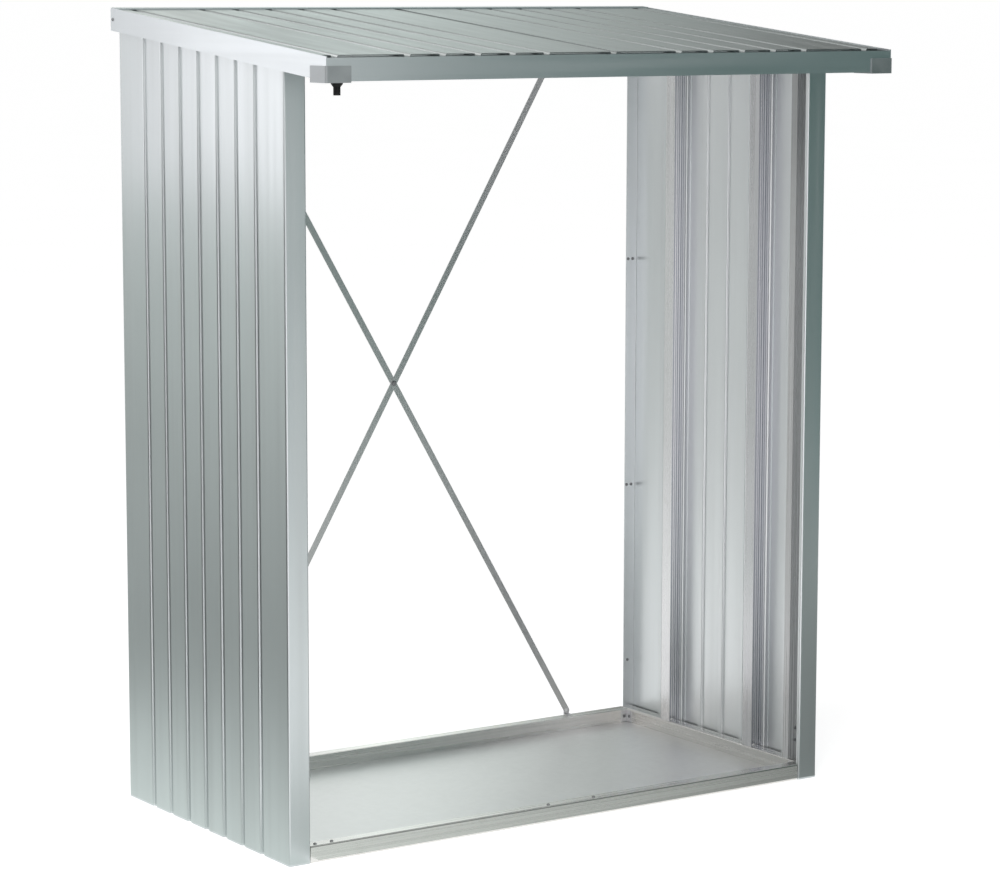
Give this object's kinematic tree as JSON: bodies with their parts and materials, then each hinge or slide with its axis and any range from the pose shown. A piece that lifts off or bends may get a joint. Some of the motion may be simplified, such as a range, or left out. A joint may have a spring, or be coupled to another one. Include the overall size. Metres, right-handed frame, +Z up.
{
  "type": "log store",
  "caption": "Open-fronted log store: grooved sheet-metal side walls, sloping roof with front gutter and outlet, floor frame and cross-braced open back.",
  "frame": {"origin": "on the ground, under the middle of the overall box", "axes": "+Z up, front with the opening and the gutter towards -Y, +X to the right when looking at the front"},
  "size_m": [1.606, 1.023, 1.96],
  "materials": {
    "wall_paint": "silver metallic coating, satin",
    "roof_paint": "silver metallic coating, satin",
    "trim_paint": "silver metallic coating, satin",
    "rail_metal": "mill-finish extrusion with fine lines along it",
    "stud_metal": "bright extrusion",
    "floor_metal": "galvanised sheet, dull",
    "bracket_metal": "zinc plated, bright",
    "brace_metal": "galvanised strip",
    "cap_plastic": "fine satin",
    "outlet_plastic": "matt"
  },
  "bodies": {
    "root": {"floor_front": "rail_metal", "floor_rear": "rail_metal", "floor_left": "rail_metal", "floor_right": "rail_metal", "floor_brackets": "bracket_metal", "floor_sheet": "floor_metal", "wall_left_front": "wall_paint", "wall_left_middle": "wall_paint", "wall_left_rear": "wall_paint", "wall_right_front": "wall_paint", "wall_right_middle": "wall_paint", "wall_right_rear": "wall_paint", "stud_left_front": "stud_metal", "stud_left_middle": "stud_metal", "stud_left_rear": "stud_metal", "stud_right_front": "stud_metal", "stud_right_middle": "stud_metal", "stud_right_rear": "stud_metal", "trim_left": "trim_paint", "trim_right": "trim_paint", "gutter": "trim_paint", "rear_rail": "trim_paint", "roof_left": "roof_paint", "roof_right": "roof_paint", "cap_left": "cap_plastic", "cap_right": "cap_plastic", "outlet": "outlet_plastic", "brace_falling": "brace_metal", "brace_rising": "brace_metal"}
  },
  "joints": []
}
